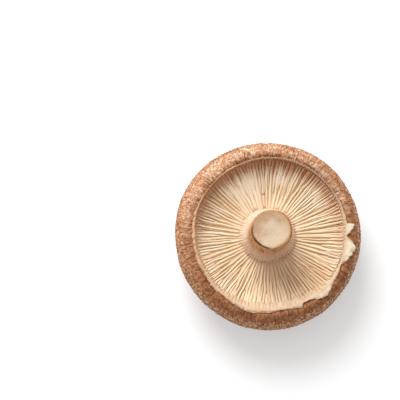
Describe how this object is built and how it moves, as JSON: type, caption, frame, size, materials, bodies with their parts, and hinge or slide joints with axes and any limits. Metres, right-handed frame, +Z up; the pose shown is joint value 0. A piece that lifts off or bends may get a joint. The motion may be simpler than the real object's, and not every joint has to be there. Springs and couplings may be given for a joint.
{
  "type": "shiitake mushroom",
  "caption": "Whole picked shiitake mushroom lying on the crown of its brown cap, with its rolled rim, cream gills and short cut stem facing up.",
  "frame": {"origin": "The middle of the small flat spot on the crown of the cap, where the mushroom rests.", "axes": "+Z is up, away from the surface it lies on; gills and cut stem face +Z, and the mushroom's own axis leans 4.8 degrees from +Z towards +X and -Y."},
  "size_m": [0.0617, 0.0621, 0.0349],
  "materials": {
    "cap_skin": "matt warm brown skin with fine radial fibres, paler and felted towards the rim",
    "gill_flesh": "matt cream gill edges, tan and brown in the valleys between them",
    "stem_flesh": "matt fibrous tan skin, with a pale smooth cut end"
  },
  "bodies": {
    "root": {"mushroom": "cap_skin"}
  },
  "joints": []
}
